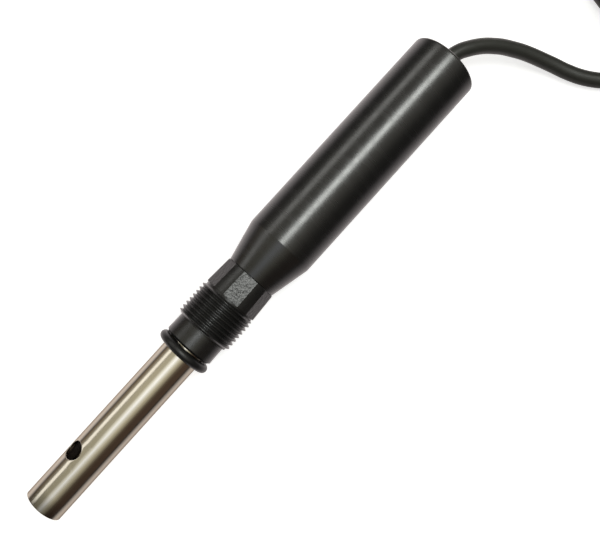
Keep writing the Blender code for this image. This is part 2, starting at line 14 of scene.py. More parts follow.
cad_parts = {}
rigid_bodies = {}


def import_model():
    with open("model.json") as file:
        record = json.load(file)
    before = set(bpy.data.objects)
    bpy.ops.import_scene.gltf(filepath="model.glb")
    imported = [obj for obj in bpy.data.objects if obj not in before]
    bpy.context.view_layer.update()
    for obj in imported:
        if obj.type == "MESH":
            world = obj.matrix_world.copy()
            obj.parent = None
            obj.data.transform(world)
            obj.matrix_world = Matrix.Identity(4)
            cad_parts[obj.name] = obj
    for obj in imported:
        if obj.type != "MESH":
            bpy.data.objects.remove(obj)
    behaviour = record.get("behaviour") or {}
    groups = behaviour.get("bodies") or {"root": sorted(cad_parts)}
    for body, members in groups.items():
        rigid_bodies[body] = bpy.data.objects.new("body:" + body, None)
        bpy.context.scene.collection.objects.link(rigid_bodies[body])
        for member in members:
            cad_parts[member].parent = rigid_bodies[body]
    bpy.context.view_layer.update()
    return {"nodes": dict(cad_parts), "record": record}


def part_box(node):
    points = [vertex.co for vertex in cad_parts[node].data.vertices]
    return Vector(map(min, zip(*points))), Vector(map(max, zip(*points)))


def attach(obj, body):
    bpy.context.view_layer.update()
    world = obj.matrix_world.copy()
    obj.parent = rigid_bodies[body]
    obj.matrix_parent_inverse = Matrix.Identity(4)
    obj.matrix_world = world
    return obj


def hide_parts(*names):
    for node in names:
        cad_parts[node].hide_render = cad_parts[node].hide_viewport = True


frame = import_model()

MM = 0.001


def size_of(node):
    """A node's lowest corner and its size, in millimetres."""
    low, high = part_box(node)
    return low / MM, (high - low) / MM


# Places and sizes read from the frame.
TUBE_LOW, TUBE_SIZE = size_of("electrode_tube")
HANDLE_LOW, HANDLE_SIZE = size_of("handle_body")
FITTING_LOW, FITTING_SIZE = size_of("threaded_fitting")
RING_LOW, RING_SIZE = size_of("port_o_ring")
PLUG_LOW, PLUG_SIZE = size_of("electrode_insulator")
ROD_LOW, ROD_SIZE = size_of("inner_electrode")
SLEEVE_LOW, SLEEVE_SIZE = size_of("cable_end_sleeve")
TIP_X = TUBE_LOW.x
TUBE_R = TUBE_SIZE.y / 2
AXIS_Z = TUBE_LOW.z + TUBE_R
HANDLE_R = HANDLE_SIZE.y / 2
HANDLE_END_AT = HANDLE_LOW.x + HANDLE_SIZE.x - TIP_X
SPIGOT_AT = HANDLE_LOW.x - TIP_X
COLLAR_AT = FITTING_LOW.x - TIP_X
FITTING_END_AT = COLLAR_AT + FITTING_SIZE.x
O_RING_AT = RING_LOW.x + RING_SIZE.x / 2 - TIP_X
O_RING_SECTION_R = RING_SIZE.x / 2
O_RING_R = RING_SIZE.y / 2 - O_RING_SECTION_R

# The measuring end.
TUBE_BORE_R = 5.35
TUBE_SHOULDER_AT = 108.0
TUBE_THREAD_R = 6.0
ROD_STEP_AT = 58.0
ROD_STEM_R = 2.5
SENSOR_BORE_R = 1.6
# The middle of the snap ring's groove, and half its width.
SNAP_AT = 88.7
SNAP_HALF = 0.8
# Grooves in the bores, by the stations of their rear and front walls.
CIRCLIP_GROOVE = (59.6, 58.0)
FRONT_SEAL_GROOVE = (69.9, 68.3)
REAR_SEAL_GROOVE = (92.3, 90.7)
NOSE_SEAL_GROOVE = (101.4, 99.6)
VENT_AT = 19.5
VENT_R = 3.05
VENT_AZIMUTH = math.radians(45.5)

# The threaded fitting.
THREAD_R = 9.97
THREAD_PITCH = 1.5
THREAD_DEPTH = 0.92
# Where the thread starts and where its crest stands, as parts of one pitch, and the crest's rounding.
THREAD_PHASE = 0.06
CREST_AT = 0.57
CREST_R = 0.22
# The length over which the thread fades at each end.
THREAD_FADE = 0.7
COLLAR_END_AT = 71.5
COLLAR_R = 8.42
THREAD_END_AT = 83.7
WRENCH_AT = 84.2
# The wrench section's radius at its front, and how much of that it loses by its rear.
WRENCH_R = 9.5
WRENCH_TAPER = 0.5
# Half of a flat's width and its turn from the top, both in degrees round the axis.
FLAT_HALF = 17.4
FLAT_TURN = -3.5
SEAL_GROOVE_R = 7.7
SNAP_GROOVE_R = 7.3
# How far the O-ring's +Y side sits back of its middle, and how far its top leans to the tip.
O_RING_SKEW = 0.14
O_RING_LEAN = 0.2

# The handle.
NOSE_R = 8.75
SPIGOT_R = 7.6
CONE_END_AT = 107.2
CAVITY_AT = 112.3
CAVITY_R = 9.25
CAP_SEAT_AT = 178.5
CAP_SEAT_R = 10.0
CAP_FACE_AT = 186.0
CAP_R = 9.8
CAP_BORE_R = 4.2
CAP_GROOVE = (181.1, 182.9)
CAP_GROOVE_R = 8.45
NOSE_GROOVE_R = 7.9
FLANGE_R = 5.4
GROMMET_NECK_R = 3.95
GROMMET_END_AT = 188.0

# The cable, its hank and its end.
CABLE_R = 2.6
CABLE_START_AT = 186.6
HANK_START_AT = 269.2
HANK_STRAIGHT = 56.0
HANK_Y = -30.0
LANE_R = (16.0, 21.3, 26.6)
LAYER_PITCH = 5.25
HANK_BOTTOM = 0.9
TAIL_HEIGHT = 24.75
TAIL_END_AT = 291.0
CABLE_ROUTE = (
    (0.09515, 0.0, 0.01175),
    (0.09765, -0.00022, 0.01172),
    (0.10015, -0.001, 0.0115),
    (0.10265, -0.0023, 0.0111),
    (0.10515, -0.0038, 0.0105),
    (0.10765, -0.0056, 0.0098),
    (0.10995, -0.0077, 0.009),
    (0.11225, -0.0101, 0.0081),
    (0.11435, -0.0129, 0.0071),
    (0.11645, -0.016, 0.0061),
    (0.11835, -0.0195, 0.0051),
    (0.12005, -0.0232, 0.0042),
    (0.12165, -0.0271, 0.0035),
    (0.12315, -0.0313, 0.003),
    (0.12515, -0.036, 0.00275),
    (0.12785, -0.0405, 0.00262),
    (0.13115, -0.0446, 0.0026),
    (0.13505, -0.0482, 0.0026),
    (0.13995, -0.0515, 0.0026),
    (0.14585, -0.0543, 0.0026),
    (0.15225, -0.056, 0.00265),
    (0.15885, -0.0566, 0.0028),
    (0.16725, -0.0566, 0.00315),
    (0.17575, -0.0566, 0.0035),
)


def at(station, y, height):
    """A point in the frame from a station, a lateral place and a height above the floor."""
    return Vector((TIP_X + station, y, height)) * MM


def round_axis(station, radius, angle):
    """A point at a radius from the probe's axis, at an angle from the top towards +Y."""
    return at(station, radius * math.sin(angle), AXIS_Z + radius * math.cos(angle))


# Camera, floor, lights and world.

CAMERA_TILT = math.radians(3.81)
CAMERA_ROLL = math.radians(47.96)
CAMERA_PLACE = (-0.00469, -0.01178, 0.24210)
SENSOR_WIDTH = 36.0
LENS = 44.08
TABLE_GREY = 0.75
TABLE_GLOW = 0.70


def camera():
    """The view that shows the probe from above, its tip at the lower left."""
    tilt, roll = CAMERA_TILT, CAMERA_ROLL
    right = Vector((math.cos(roll) * math.cos(tilt), -math.sin(roll), math.cos(roll) * math.sin(tilt)))
    up = Vector((math.sin(roll) * math.cos(tilt), math.cos(roll), math.sin(roll) * math.sin(tilt)))
    back = right.cross(up)
    lens = bpy.data.cameras.new("camera")
    lens.sensor_width = SENSOR_WIDTH
    lens.lens = LENS
    lens.clip_start = 0.01
    obj = bpy.data.objects.new("camera", lens)
    bpy.context.scene.collection.objects.link(obj)
    turned_to = Matrix((right, up, back)).transposed().to_4x4()
    obj.matrix_world = Matrix.Translation(CAMERA_PLACE) @ turned_to
    bpy.context.scene.camera = obj


def softbox(name, place, size, radiance, colour):
    """A rectangular light of the given radiance, turned to the object. Its long side lies along X."""
    light = bpy.data.lights.new(name, "AREA")
    light.shape = "RECTANGLE"
    light.size, light.size_y = size
    light.energy = radiance * math.pi * size[0] * size[1]
    light.color = colour
    obj = bpy.data.objects.new(name, light)
    obj.visible_camera = False
    bpy.context.scene.collection.objects.link(obj)
    back = Vector((0.0, place[1], place[2])).normalized()
    along = Vector((1.0, 0.0, 0.0))
    across = back.cross(along)
    obj.matrix_world = Matrix.Translation(place) @ Matrix((along, across, back)).transposed().to_4x4()


def lights():
    """Boxes 1 m from the probe's line. The first two shine on the handle and the third on the tube."""
    softbox("overhead_box", (0.33, -0.03, 1.0), (0.60, 0.25), 9.3, (0.97, 1.0, 0.96))
    softbox("side_box", (0.36, 0.77, 0.64), (0.54, 0.27), 1.9, (1.0, 1.0, 0.96))
    softbox("tip_side_box", (-0.36, 0.83, 0.56), (0.56, 0.30), 0.95, (1.0, 1.0, 0.99))


# The room that the tube reflects, round the probe's axis: degrees from overhead towards +Y, and the colour.
ROOM_TIP = (
    (-60, (0.085, 0.057, 0.042)),
    (-46, (0.14, 0.11, 0.08)),
    (-26, (0.66, 0.62, 0.48)),
    (-14, (1.0, 1.01, 0.93)),
    (-3, (1.55, 1.62, 1.75)),
    (7, (1.25, 1.27, 1.22)),
    (19, (0.58, 0.55, 0.43)),
    (36, (0.58, 0.55, 0.43)),
    (48, (0.50, 0.48, 0.42)),
    (66, (0.50, 0.48, 0.42)),
    (80, (0.27, 0.22, 0.16)),
    (90, (0.20, 0.15, 0.11)),
)
# The room that the handle reflects, as a brightness in one warm colour.
REAR_COLOUR = (1.0, 0.95, 0.82)
ROOM_REAR = (
    (-75, 0.03), (-60, 0.06), (-48, 0.17), (-36, 0.30), (-26, 0.36), (0, 0.36),
    (20, 0.25), (36, 0.25), (60, 0.20), (70, 0.12), (80, 0.04),
)
# The first room gives way to the second between these X parts of the direction looked in.
ROOM_CHANGE = (-0.10, 0.12)
# The room's brightness along X: it fades past the tip.
ROOM_FADE = ((-0.60, 0.10), (-0.44, 0.38), (-0.286, 0.80), (-0.18, 1.0), (0.60, 1.0))
# The table as the object's reflections find it: a lateral place in metres, and the brightness there.
TABLE_COLOUR = (1.0, 0.92, 0.91)
TABLE = (
    (-0.15, 0.03), (-0.07, 0.27), (-0.04, 0.55), (-0.015, 0.95),
    (0.015, 1.25), (0.045, 0.85), (0.09, 0.38), (0.17, 0.08),
)
RAMP_TOP = 2.0


def shades(stops, colour):
    """Stops of (value, colour) from stops of (value, brightness) and their one colour."""
    return [(value, tuple(level * part for part in colour)) for value, level in stops]


def round_the_axis(stops):
    """Stops given in degrees, in radians."""
    return [(math.radians(degrees), colour) for degrees, colour in stops]


def ramp(tree, value, stops):
    """A colour that follows a value through stops of (value, colour), none brighter than RAMP_TOP."""
    low, high = stops[0][0], stops[-1][0]
    share = tree.nodes.new("ShaderNodeMapRange")
    share.inputs["From Min"].default_value = low
    share.inputs["From Max"].default_value = high
    colours = tree.nodes.new("ShaderNodeValToRGB")
    marks = colours.color_ramp.elements
    for stop in stops[2:]:
        marks.new((stop[0] - low) / (high - low))
    for mark, (place, colour) in zip(marks, stops):
        mark.position = (place - low) / (high - low)
        mark.color = (*(part / RAMP_TOP for part in colour), 1.0)
    raised = tree.nodes.new("ShaderNodeVectorMath")
    raised.operation = "SCALE"
    raised.inputs["Scale"].default_value = RAMP_TOP
    tree.links.new(value, share.inputs["Value"])
    tree.links.new(share.outputs[0], colours.inputs["Fac"])
    tree.links.new(colours.outputs["Color"], raised.inputs[0])
    return raised.outputs["Vector"]


def world():
    """A soft room whose brightness changes round the probe's axis and along it. The camera sees it plain
    white."""
    made = bpy.data.worlds.new("studio")
    bpy.context.scene.world = made
    made.use_nodes = True
    tree = made.node_tree
    tree.nodes.clear()
    links = tree.links
    place = tree.nodes.new("ShaderNodeTexCoord")
    split = tree.nodes.new("ShaderNodeSeparateXYZ")
    lean = tree.nodes.new("ShaderNodeMath")
    lean.operation = "ARCTAN2"
    links.new(place.outputs["Generated"], split.inputs[0])
    links.new(split.outputs["Y"], lean.inputs[0])
    links.new(split.outputs["Z"], lean.inputs[1])
    tip_room = ramp(tree, lean.outputs[0], round_the_axis(ROOM_TIP))
    rear_room = ramp(tree, lean.outputs[0], round_the_axis(shades(ROOM_REAR, REAR_COLOUR)))
    change = tree.nodes.new("ShaderNodeMapRange")
    change.interpolation_type = "SMOOTHSTEP"
    change.inputs["From Min"].default_value, change.inputs["From Max"].default_value = ROOM_CHANGE
    around = tree.nodes.new("ShaderNodeMix")
    around.data_type = "RGBA"
    links.new(split.outputs["X"], change.inputs["Value"])
    links.new(change.outputs[0], around.inputs["Factor"])
    links.new(tip_room, around.inputs["A"])
    links.new(rear_room, around.inputs["B"])
    fade = ramp(tree, split.outputs["X"], shades(ROOM_FADE, (1.0, 1.0, 1.0)))
    seen = tree.nodes.new("ShaderNodeVectorMath")
    seen.operation = "MULTIPLY"
    links.new(around.outputs["Result"], seen.inputs[0])
    links.new(fade, seen.inputs[1])
    ray = tree.nodes.new("ShaderNodeLightPath")
    shown = tree.nodes.new("ShaderNodeMix")
    shown.data_type = "RGBA"
    shown.inputs["B"].default_value = (1.0, 1.0, 1.0, 1.0)
    links.new(seen.outputs["Vector"], shown.inputs["A"])
    links.new(ray.outputs["Is Camera Ray"], shown.inputs["Factor"])
    glow = tree.nodes.new("ShaderNodeBackground")
    out = tree.nodes.new("ShaderNodeOutputWorld")
    links.new(shown.outputs["Result"], glow.inputs["Color"])
    links.new(glow.outputs[0], out.inputs["Surface"])


def floor():
    """A pale table, far wider than the object. It glows a little, so that the shadow on it stays faint. The
    object's own reflections find it dimmer away from the probe's line."""
    bpy.ops.mesh.primitive_plane_add(size=8.0, location=(0.0, 0.0, 0.0))
    table = bpy.context.object
    table.name = "floor"
    made = bpy.data.materials.new("table")
    made.use_nodes = True
    tree = made.node_tree
    links = tree.links
    shader = tree.nodes["Principled BSDF"]
    shader.inputs["Base Color"].default_value = (TABLE_GREY, TABLE_GREY, TABLE_GREY, 1.0)
    shader.inputs["Roughness"].default_value = 0.9
    shader.inputs["Specular IOR Level"].default_value = 0.0
    shader.inputs["Emission Color"].default_value = (1.0, 1.0, 1.0, 1.0)
    shader.inputs["Emission Strength"].default_value = TABLE_GLOW
    place = tree.nodes.new("ShaderNodeTexCoord")
    split = tree.nodes.new("ShaderNodeSeparateXYZ")
    links.new(place.outputs["Object"], split.inputs[0])
    mirrored = tree.nodes.new("ShaderNodeEmission")
    links.new(ramp(tree, split.outputs["Y"], shades(TABLE, TABLE_COLOUR)), mirrored.inputs["Color"])
    ray = tree.nodes.new("ShaderNodeLightPath")
    either = tree.nodes.new("ShaderNodeMixShader")
    links.new(ray.outputs["Is Camera Ray"], either.inputs["Fac"])
    links.new(mirrored.outputs[0], either.inputs[1])
    links.new(shader.outputs[0], either.inputs[2])
    links.new(either.outputs[0], tree.nodes["Material Output"].inputs["Surface"])
    table.data.materials.append(made)


# Materials. Noise in the object's own space varies the colour, gloss or grain of each.


class Finish:
    """A Principled material whose nodes are added one feature at a time."""

    def __init__(self, name, colour, roughness, metallic=0.0, specular=0.5, edge=(1.0, 1.0, 1.0)):
        self.made = bpy.data.materials.new(name)
        self.made.use_nodes = True
        self.tree = self.made.node_tree
        self.shader = self.tree.nodes["Principled BSDF"]
        self.shader.inputs["Metallic"].default_value = metallic
        self.shader.inputs["Specular IOR Level"].default_value = specular
        self.shader.inputs["Specular Tint"].default_value = (*edge, 1.0)
        self.colour = colour
        self.roughness = roughness
        self.shader.inputs["Base Color"].default_value = (*colour, 1.0)
        self.shader.inputs["Roughness"].default_value = roughness
        self.place = self.tree.nodes.new("ShaderNodeTexCoord").outputs["Object"]
        self.normal = None

    def node(self, kind, **values):
        """A new node with these values on its inputs."""
        made = self.tree.nodes.new(kind)
        for key, value in values.items():
            made.inputs[key].default_value = value
        return made

    def noise(self, stretch, detail=3.0):
        """Noise with this many features for each metre along X, Y and Z."""
        spread = self.node("ShaderNodeMapping", Scale=stretch)
        made = self.node("ShaderNodeTexNoise", Scale=1.0, Detail=detail, Roughness=0.55)
        self.tree.links.new(self.place, spread.inputs["Vector"])
        self.tree.links.new(spread.outputs[0], made.inputs["Vector"])
        return made.outputs["Fac"]

    def mottled(self, stretch, amount, tint=(1.0, 1.0, 1.0)):
        """The colour wanders to either side of its own value, towards a tint on the lighter side."""
        mix = self.tree.nodes.new("ShaderNodeMix")
        mix.data_type = "RGBA"
        mix.inputs["A"].default_value = (*(c * (1 - amount) for c in self.colour), 1.0)
        light = [min(1.0, c * (1 + amount) * t) for c, t in zip(self.colour, tint)]
        mix.inputs["B"].default_value = (*light, 1.0)
        self.tree.links.new(self.noise(stretch), mix.inputs["Factor"])
        self.tree.links.new(mix.outputs["Result"], self.shader.inputs["Base Color"])
        return self

    def uneven(self, stretch, amount):
        """The roughness wanders to either side of its own value."""
        spread = self.node("ShaderNodeMapRange")
        spread.inputs["From Min"].default_value = 0.3
        spread.inputs["From Max"].default_value = 0.7
        spread.inputs["To Min"].default_value = self.roughness - amount
        spread.inputs["To Max"].default_value = self.roughness + amount
        self.tree.links.new(self.noise(stretch), spread.inputs["Value"])
        self.tree.links.new(spread.outputs[0], self.shader.inputs["Roughness"])
        return self

    def grained(self, stretch, depth, detail=3.0):
        """Raises the surface by noise of this depth in metres. Calls add up."""
        bump = self.node("ShaderNodeBump", Strength=1.0, Distance=depth)
        self.tree.links.new(self.noise(stretch, detail), bump.inputs["Height"])
        if self.normal is not None:
            self.tree.links.new(self.normal, bump.inputs["Normal"])
        self.normal = bump.outputs["Normal"]
        self.tree.links.new(self.normal, self.shader.inputs["Normal"])
        return self


def finishes():
    """Every material, by the record's slot or by the surface it is for."""
    fine = (2500.0, 2500.0, 2500.0)
    turning_marks = (2500.0, 2.0, 2.0)
    made = {}
    steel = Finish("brushed_steel", (0.66, 0.615, 0.53), 0.165, 1.0, edge=(0.30, 0.27, 0.25))
    steel.mottled((60.0, 500.0, 500.0), 0.05, (1.0, 0.99, 0.96)).uneven((300.0, 900.0, 900.0), 0.03)
    steel.grained((12.0, 1400.0, 1400.0), 0.6e-6).grained((3500.0, 300.0, 300.0), 0.4e-6)
    made["stainless_steel"] = steel
    # Painted shade: the tube's bore and its centre rod are coloured near black for the shade inside the tube;
    # noise mottles them at random.
    bore = Finish("bore_painted_shade", (0.035, 0.026, 0.020), 0.55, specular=0.3)
    made["bore_painted_shade"] = bore.mottled((700.0, 700.0, 700.0), 0.3).grained(fine, 4e-6)
    rod = Finish("rod_painted_shade", (0.075, 0.058, 0.045), 0.42, 1.0)
    made["rod_painted_shade"] = rod.mottled((900.0, 900.0, 900.0), 0.3).grained(fine, 3e-6)
    handle = Finish("turned_acetal", (0.010, 0.010, 0.010), 0.27, specular=1.0)
    handle.mottled((150.0, 150.0, 150.0), 0.15).uneven((400.0, 60.0, 60.0), 0.03)
    handle.grained(turning_marks, 0.15e-6)
    made["handle_plastic"] = handle
    fitting = Finish("moulded_nylon", (0.012, 0.012, 0.012), 0.28, specular=0.7)
    fitting.mottled((200.0, 200.0, 200.0), 0.2).uneven((500.0, 500.0, 500.0), 0.05)
    fitting.grained(fine, 1.5e-6)
    made["fitting_plastic"] = fitting
    flats = Finish("grained_flats", (0.014, 0.014, 0.014), 0.30, specular=0.6)
    flats.mottled((900.0, 900.0, 900.0), 0.3).grained((1400.0, 1500.0, 1500.0), 1.1e-4, 0.5)
    made["wrench_flats"] = flats
    rubber = Finish("nitrile_rubber", (0.010, 0.010, 0.010), 0.38)
    made["seal_rubber"] = rubber.mottled((500.0, 500.0, 500.0), 0.2).uneven(fine, 0.05).grained(fine, 2e-6)
    jacket = Finish("cable_jacket", (0.030, 0.031, 0.027), 0.43)
    jacket.mottled((300.0, 300.0, 300.0), 0.15).uneven((900.0, 900.0, 900.0), 0.06)
    made["cable_jacket"] = jacket.grained((1800.0, 1800.0, 1800.0), 8e-6)
    peek = Finish("peek", (0.50, 0.38, 0.25), 0.42)
    made["insulator_plastic"] = peek.mottled((400.0, 400.0, 400.0), 0.08).grained((2000.0, 2.0, 2.0), 2e-6)
    brass = Finish("brass", (0.78, 0.57, 0.25), 0.30, 1.0)
    made["brass"] = brass.mottled((400.0, 400.0, 400.0), 0.08).uneven(fine, 0.08).grained(fine, 1.5e-6)
    tin = Finish("tinned_copper", (0.72, 0.71, 0.68), 0.32, 1.0)
    made["tinned_copper"] = tin.mottled((700.0, 700.0, 700.0), 0.08).uneven(fine, 0.08).grained(fine, 2e-6)
    glass = Finish("sensor_glass", (0.035, 0.033, 0.030), 0.12)
    made["sensor_glass"] = glass.mottled((900.0, 900.0, 900.0), 0.3).uneven((900.0, 900.0, 900.0), 0.04)
    shrink = Finish("heat_shrink", (0.016, 0.016, 0.017), 0.48)
    made["heat_shrink"] = shrink.mottled((500.0, 500.0, 500.0), 0.2).grained((900.0, 900.0, 900.0), 6e-6)
    strap = Finish("strap_rubber", (0.022, 0.022, 0.024), 0.55)
    made["tie_strap"] = strap.mottled((500.0, 500.0, 500.0), 0.2).grained((1500.0, 3000.0, 3000.0), 1.5e-5)
    insulations = {
        "wire_red": (0.50, 0.022, 0.016), "wire_black": (0.014, 0.014, 0.014),
        "wire_white": (0.72, 0.71, 0.67), "wire_green": (0.016, 0.24, 0.055),
        "wire_blue": (0.016, 0.075, 0.38),
    }
    for name, colour in insulations.items():
        wire = Finish(name, colour, 0.36)
        made[name] = wire.mottled((500.0, 500.0, 500.0), 0.07).uneven(fine, 0.05).grained(fine, 2e-6)
    return {name: finish.made for name, finish in made.items()}


# Meshes.


def finished(obj, slot, body, *nodes):
    """Gives a piece its finish and its body, and hides the CAD nodes that it stands for."""
    if not obj.data.materials:
        obj.data.materials.append(FINISHES[slot])
    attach(obj, body)
    if nodes:
        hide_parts(*nodes)
    return obj


def mesh_piece(name, work, sharp=30.0):
    """An object from a working mesh, welded, turned outward and shaded smooth up to an angle."""
    bmesh.ops.remove_doubles(work, verts=work.verts, dist=2e-7)
    bmesh.ops.dissolve_degenerate(work, edges=work.edges, dist=2e-7)
    bmesh.ops.recalc_face_normals(work, faces=work.faces)
    mesh = bpy.data.meshes.new(name)
    work.to_mesh(mesh)
    work.free()
    mesh.shade_smooth()
    mesh.set_sharp_from_angle(angle=math.radians(sharp))
    obj = bpy.data.objects.new(name, mesh)
    bpy.context.scene.collection.objects.link(obj)
    return obj


def skin(work, rows, wrap_rows=True, wrap_points=True):
    """Faces through rows of vertices, each row joined to the next one."""
    count = len(rows[0])
    after = rows[1:] + rows[:1] if wrap_rows else rows[1:]
    for one, two in zip(rows, after):
        for i in range(count if wrap_points else count - 1):
            j = (i + 1) % count
            corners = [one[i], one[j], two[j], two[i]]
            distinct = list(dict.fromkeys(corners))
            if len(distinct) > 2:
                work.faces.new(distinct)


def turned(name, outline, steps=160, sharp=30.0, centre=None):
    """Turns an outline of (station, radius) points round the axis, or round another line along X. The
    outline is a closed loop, unless both its ends are on the axis."""
    y, height = centre or (0.0, AXIS_Z)
    work = bmesh.new()
    rows = []
    for step in range(steps):
        angle = 2 * math.pi * step / steps
        across, up = math.sin(angle), math.cos(angle)
        rows.append([work.verts.new(at(x, y + r * across, height + r * up)) for x, r in outline])
    on_axis = outline[0][1] == 0 and outline[-1][1] == 0
    skin(work, rows, wrap_points=not on_axis)
    return mesh_piece(name, work, sharp)


def arc_angles(first, last, count):
    """Evenly spaced angles in radians, from a first and a last one in degrees."""
    return [math.radians(first + (last - first) * i / (count - 1)) for i in range(count)]


def corner(station, radius, r, first, last, count=6):
    """A rounded corner of an outline: its centre, its radius and its first and last angles in degrees."""
    return [(station + r * math.cos(a), radius + r * math.sin(a)) for a in arc_angles(first, last, count)]


def groove(walls, open_r, floor_r):
    """A square groove of an outline: the stations of its two walls in the order they are met, the radius
    that it is cut into and the radius of its floor."""
    first, last = walls
    return [(first, open_r), (first, floor_r), (last, floor_r), (last, open_r)]


def vented_wall(work, border, places, radius, azimuth, rim):
    """Fills the opening left in the tube's wall with rings that close in on a round hole. border is the
    opening's loop of vertices, and places has each one's (offset along X, angle) from the hole's middle. The
    hole's rim is rounded by this radius. Returns the last ring."""
    rings = []
    for blend in (1.0, 0.62, 0.3, 0.1, 0.0):
        ring = []
        for (dx, turn), vertex in zip(places, border):
            if blend == 1.0:
                ring.append(vertex)
                continue
            way = math.atan2(TUBE_R * math.sin(turn), dx)
            hole_x = (VENT_R + rim) * math.cos(way)
            hole_turn = math.asin((VENT_R + rim) * math.sin(way) / radius)
            x = VENT_AT + hole_x + (dx - hole_x) * blend
            angle = azimuth + hole_turn + (turn - hole_turn) * blend
            ring.append(work.verts.new(round_axis(x, radius, angle)))
        rings.append(ring)
    for share in (0.25, 0.5, 0.75, 1.0) if rim else ():
        ring = []
        lean = math.radians(90 * share)
        r = VENT_R + rim * (1 - math.sin(lean))
        for dx, turn in places:
            way = math.atan2(TUBE_R * math.sin(turn), dx)
            across = r * math.sin(way)
            up = math.sqrt(radius**2 - across**2) - rim * (1 - math.cos(lean))
            out = math.hypot(across, up)
            angle = azimuth + math.atan2(across, up)
            ring.append(work.verts.new(round_axis(VENT_AT + r * math.cos(way), out, angle)))
        rings.append(ring)
    skin(work, rings, wrap_rows=False)
    return rings[-1]


def steel_tube():
    """The outer electrode, with softened ends and a rounded rim on each of its two vent holes."""
    steps = 192
    # The opening left round a hole: its steps to either side, its half length and its cells along X.
    reach, half, cells = 24, 4.8, 24
    grid = [VENT_AT - half + half * i / (cells // 2) for i in range(cells + 1)]
    outer = corner(0.2, TUBE_R - 0.2, 0.2, 180, 90, 5) + [(6.0, TUBE_R)]
    first_outer = len(outer)
    outer += [(x, TUBE_R) for x in grid]
    outer += [(x, TUBE_R) for x in (30.0, 45.0, 60.0)]
    outer += groove((SNAP_AT - SNAP_HALF, SNAP_AT + SNAP_HALF), TUBE_R, TUBE_R - 0.45)
    outer += [(TUBE_SHOULDER_AT, TUBE_R), (TUBE_SHOULDER_AT, TUBE_THREAD_R)]
    tube_end = TUBE_SIZE.x
    outer += [(tube_end, TUBE_THREAD_R), (tube_end, TUBE_BORE_R)]
    outer += groove(CIRCLIP_GROOVE, TUBE_BORE_R, TUBE_BORE_R + 0.4)
    first_inner = len(outer)
    outer += [(x, TUBE_BORE_R) for x in reversed(grid)]
    outer += corner(0.15, TUBE_BORE_R + 0.15, 0.15, 270, 180, 4)
    work = bmesh.new()
    angles = [VENT_AZIMUTH + 2 * math.pi * j / steps for j in range(steps)]
    rows = [[work.verts.new(round_axis(x, r, a)) for x, r in outer] for a in angles]
    count = len(outer)
    for j in range(steps):
        from_hole = min(j % (steps // 2), steps // 2 - (j % (steps // 2)) - 1)
        for i in range(count):
            in_vent = first_outer <= i < first_outer + cells or first_inner <= i < first_inner + cells
            if in_vent and from_hole < reach:
                continue
            k = (i + 1) % count
            one, two = rows[j], rows[(j + 1) % steps]
            work.faces.new((one[i], one[k], two[k], two[i]))
    for side in (0, steps // 2):
        azimuth = VENT_AZIMUTH + 2 * math.pi * side / steps
        border = [(i, -reach) for i in range(cells)] + [(cells, j) for j in range(-reach, reach)]
        border += [(cells - i, reach) for i in range(cells)] + [(0, reach - j) for j in range(2 * reach)]
        places = [(grid[i] - VENT_AT, 2 * math.pi * j / steps) for i, j in border]
        skins = []
        walls = ((first_outer, TUBE_R, 1, 0.2), (first_inner + cells, TUBE_BORE_R, -1, 0.0))
        for first, radius, step, rim in walls:
            loop = [rows[(side + j) % steps][first + step * i] for i, j in border]
            skins.append(vented_wall(work, loop, places, radius, azimuth, rim))
        skin(work, skins, wrap_rows=False)
    tube = mesh_piece("steel_tube", work)
    # The bore's faces take the near-black finish, painted shade of the tube's inside.
    tube.data.materials.append(FINISHES["stainless_steel"])
    tube.data.materials.append(FINISHES["bore_painted_shade"])
    for face in tube.data.polygons:
        from_axis = math.hypot(face.center.y, face.center.z - AXIS_Z * MM)
        face.material_index = int(from_axis < (TUBE_BORE_R + 0.1) * MM)
    finished(tube, "stainless_steel", "probe", "electrode_tube")


def centre_rod():
    """The inner electrode with a rounded nose, and the plug that holds it."""
    rod_r = ROD_SIZE.y / 2
    start = ROD_LOW.x - TIP_X
    end = start + ROD_SIZE.x
    outline = [(start, 0.0)] + corner(start + 1.4, rod_r - 1.4, 1.4, 180, 90, 10)
    outline += [(ROD_STEP_AT, rod_r), (ROD_STEP_AT, ROD_STEM_R), (end, ROD_STEM_R), (end, SENSOR_BORE_R)]
    outline += [(start + 3.0, SENSOR_BORE_R), (start + 3.0, 0.0)]
    rod = turned("centre_rod", outline, 96)
    # The rod's near-black finish is painted shade inside the tube.
    rod.data.materials.append(FINISHES["rod_painted_shade"])
    finished(rod, "stainless_steel", "probe", "inner_electrode")
    plug_r = PLUG_SIZE.y / 2
    start = PLUG_LOW.x - TIP_X
    end = start + PLUG_SIZE.x
    bore = rod_r + 0.12
    outline = [(start, bore)] + corner(start + 0.3, plug_r - 0.3, 0.3, 180, 90, 5)
    for seat in (start + 7.2, end - 6.9):
        outline += groove((seat - 0.9, seat + 0.9), plug_r, 4.15)
    middle = (start + end + 0.3) / 2
    outline += [(end, plug_r), (end, bore)] + groove((middle + 0.8, middle - 0.8), bore, 3.95)
    finished(turned("insulating_plug", outline, 96), "insulator_plastic", "probe", "electrode_insulator")


def thread_outline(angle):
    """The right-handed thread's outline at one angle in degrees from the fitting's first flat. Its crests are
    rounded, and it fades at both ends."""
    root = THREAD_R - THREAD_DEPTH
    valley = ((0.03, 0.02), (0.05, 0.0), (0.09, 0.0), (0.11, 0.02))
    crest = []
    for lean in arc_angles(-55, 55, 7):
        share = CREST_AT + CREST_R * math.sin(lean) / THREAD_PITCH
        crest.append((share, 1.0 - CREST_R * (1.0 - math.cos(lean)) / THREAD_DEPTH))
    shape = (*valley, *crest)
    points = []
    for turn in range(-1, 10):
        for part, height in shape:
            x = COLLAR_END_AT + THREAD_PITCH * (turn + part + THREAD_PHASE - angle / 360.0)
            into, left = x - COLLAR_END_AT, THREAD_END_AT - x
            fade = max(0.0, min(1.0, into / THREAD_FADE, left / THREAD_FADE))
            x = min(max(x, COLLAR_END_AT), THREAD_END_AT)
            points.append((x, root + THREAD_DEPTH * height * fade))
    return points


